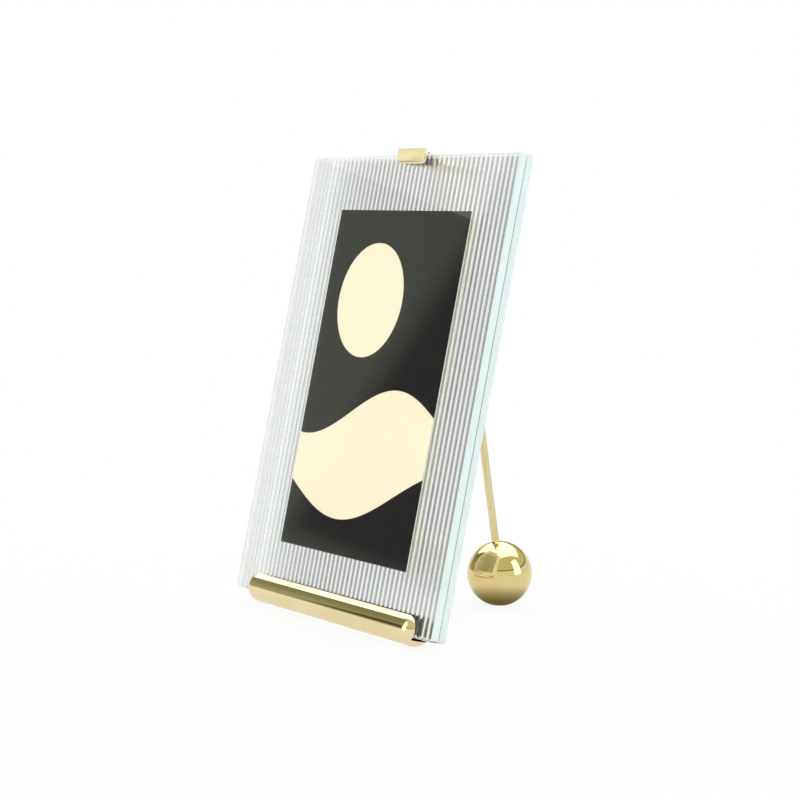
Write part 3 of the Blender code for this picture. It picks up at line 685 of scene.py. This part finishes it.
# Screws, pin and washers: two small countersunk steel screws, a brass pin with two domed heads, and two nylon
# washers that give the hinge its friction.
def turned(name, profile, steps=40):
    """A round piece turned about Z from its profile of (radius, height) points."""
    bpy.ops.object.select_all(action="DESELECT")
    bpy.ops.mesh.primitive_plane_add(size=1, location=(0, 0, 0), enter_editmode=True)
    piece = name_it(name)
    bpy.ops.mesh.select_mode(type="VERT")
    bpy.ops.mesh.select_all(action="SELECT")
    bpy.ops.mesh.merge(type="CENTER")
    bpy.ops.transform.translate(value=(profile[0][0], 0, profile[0][1]))
    for (r, z), (next_r, next_z) in zip(profile, profile[1:]):
        bpy.ops.mesh.extrude_vertices_move(TRANSFORM_OT_translate={"value": (next_r - r, 0, next_z - z)})
    bpy.ops.mesh.select_all(action="SELECT")
    bpy.ops.mesh.spin(steps=steps, angle=2 * math.pi, center=(0, 0, 0), axis=(0, 0, 1))
    bpy.ops.mesh.select_all(action="SELECT")
    bpy.ops.mesh.remove_doubles(threshold=weld)
    close_edit()
    return piece


steel = polished_brass("screw_steel_finish", (0.60, 0.60, 0.61), (0.52, 0.52, 0.53), 0.25)
nylon = plain_finish("washer_nylon_finish", (0.78, 0.77, 0.72), (0.70, 0.69, 0.64), 0.4, 1800, 0.00001)
along_y = Matrix.Rotation(math.pi / 2, 4, "X")
along_x = Matrix.Rotation(math.pi / 2, 4, "Y")

for name, side in (("screw_left", -1), ("screw_right", 1)):
    screw = turned(name, [(0, 0), (0.0014, 0), (0.0015, -0.00008), (0.0008, -0.0006), (0.0008, -0.0029),
                          (0.0007, -0.0030), (0, -0.0030)], 32)
    place(screw, clip_place @ Matrix.Translation((side * screw_offset, pocket_floor, pad_middle)) @ along_y)
    complete(screw, "clip", steel, ["bracket_" + name])

shank, shank_radius, head_radius, head_height = 0.0039, 0.0008, 0.0015, 0.0006
dome = [(head_radius * math.sin(t), shank + head_height * math.cos(t))
        for t in [math.pi / 2 * i / 8 for i in range(9)]]
pin = turned("pin", dome + [(shank_radius, shank), (shank_radius, -shank)]
             + [(r, -z) for r, z in reversed(dome)])
place(pin, clip_place @ Matrix.Translation((0, pivot_y, pivot_z)) @ along_x)
complete(pin, "clip", hinge_brass, ["hinge_pin"])

leg_opening = math.radians(12.5 + 8.9)
leg_place = clip_place @ Matrix.Translation((0, pivot_y, pivot_z)) @ Matrix.Rotation(leg_opening, 4, "X")
washer_offset = 0.0018
for name, side in (("washer_left", -1), ("washer_right", 1)):
    washer = turned(name, [(0.0010, 0.0002), (0.00195, 0.0002), (0.0020, 0.00015), (0.0020, -0.00015),
                           (0.00195, -0.0002), (0.0010, -0.0002), (0.0010, 0.0002)])
    place(washer, leg_place @ Matrix.Translation((side * washer_offset, 0, 0)) @ along_x)
    complete(washer, "leg", nylon, ["hinge_" + name])


# Leg bar: a slim square bar of drawn brass with eased edges. Its top is shaped into the hinge's eye and stop,
# and its foot into the spigot that holds the ball. The solid shows all of this, so it only takes its finish.
leg_brass = polished_brass("leg_brass", (0.72, 0.62, 0.33), (0.67, 0.56, 0.28), 0.06)
leg_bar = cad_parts["leg_bar"]
leg_bar.data.materials.clear()
leg_bar.data.materials.append(leg_brass)


# Ball foot: a solid brass ball, 29.4 mm across, turned and polished, with a square socket for the end of the
# bar and a small flat underneath, where a round felt pad is let in.
ball_brass = polished_brass("ball_brass", (0.76, 0.62, 0.30), (0.73, 0.58, 0.26), 0.03)
ball_radius, leg_length = 0.0147, 0.18443
socket_half, socket_floor = 0.0015, 0.0134
flat_height, recess_radius, recess_top = 0.00025, 0.0033, 0.0011
ball_place = leg_place @ Matrix.Translation((0, 0, -leg_length))
foot_place = Matrix.Translation((ball_place.translation.x, ball_place.translation.y, 0))

bpy.ops.object.select_all(action="DESELECT")
bpy.ops.mesh.primitive_uv_sphere_add(segments=128, ring_count=96, radius=ball_radius, location=(0, 0, 0),
                                     enter_editmode=True)
ball = name_it("ball")
close_edit()
socket_tool = block("socket_tool", (-socket_half, -socket_half, socket_floor),
                    (socket_half, socket_half, 0.02))
close_edit()
join_shape(ball, socket_tool, "DIFFERENCE")
place(ball, ball_place)
flat_tool = block("flat_tool", (-0.02, -0.02, -0.01), (0.02, 0.02, flat_height))
place(close_edit(), foot_place)
join_shape(ball, flat_tool, "DIFFERENCE")
recess_tool = drill(recess_radius, (0, 0, -0.001), (0, 0, recess_top), "Z")
place(recess_tool, foot_place)
join_shape(ball, recess_tool, "DIFFERENCE")
complete(ball, "leg", ball_brass, ["ball_foot"])

ball_felt = turned("ball_felt", [(0, 0), (0.0029, 0), (0.0030, 0.0001), (0.0030, 0.0007),
                                 (0.0029, 0.0008), (0, 0.0008)])
place(ball_felt, foot_place)
complete(ball_felt, "leg", felt, ["ball_pad"])
